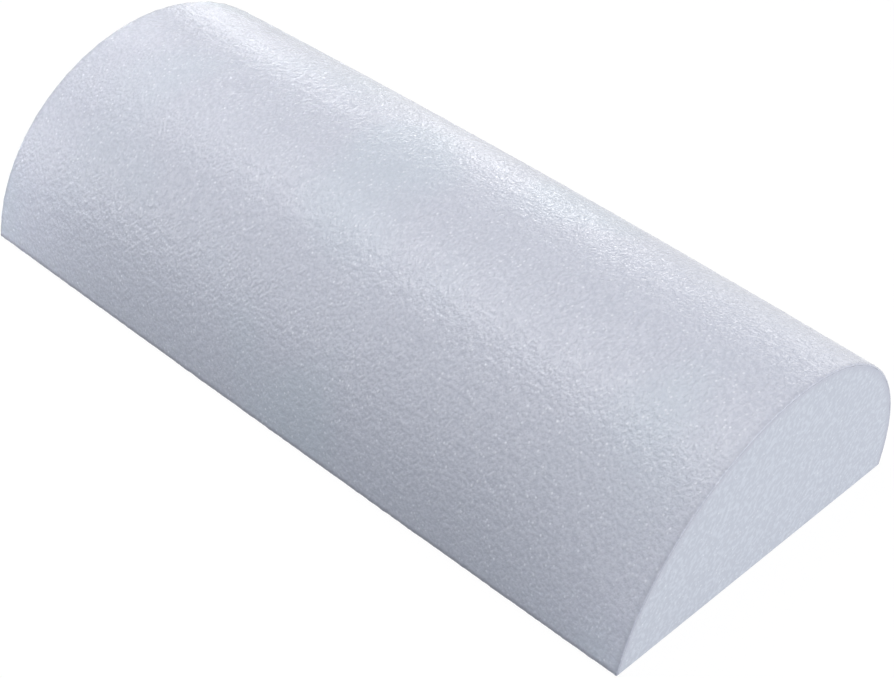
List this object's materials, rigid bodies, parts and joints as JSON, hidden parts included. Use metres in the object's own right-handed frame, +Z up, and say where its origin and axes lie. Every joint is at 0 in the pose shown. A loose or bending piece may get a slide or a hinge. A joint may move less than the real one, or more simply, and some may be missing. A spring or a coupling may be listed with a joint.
{
  "type": "half round foam roller",
  "caption": "Half round log of closed cell foam with a pebbled skin over its round side, a flat cut underside and flat cut ends, for balance, stretching and massage exercise.",
  "frame": {"origin": "middle of the flat underside, on the surface the roller lies on", "axes": "+X along the roller, +Z up from the flat underside to the top of the round side, +Y across"},
  "size_m": [0.3, 0.154, 0.0758],
  "materials": {
    "cut_foam": "closed cell polyethylene foam, cut face, matt with fine open cells",
    "skinned_foam": "closed cell polyethylene foam, moulded skin, satin with a fine pebble"
  },
  "bodies": {
    "root": {"foam_core": "cut_foam", "outer_skin": "skinned_foam"}
  },
  "joints": []
}
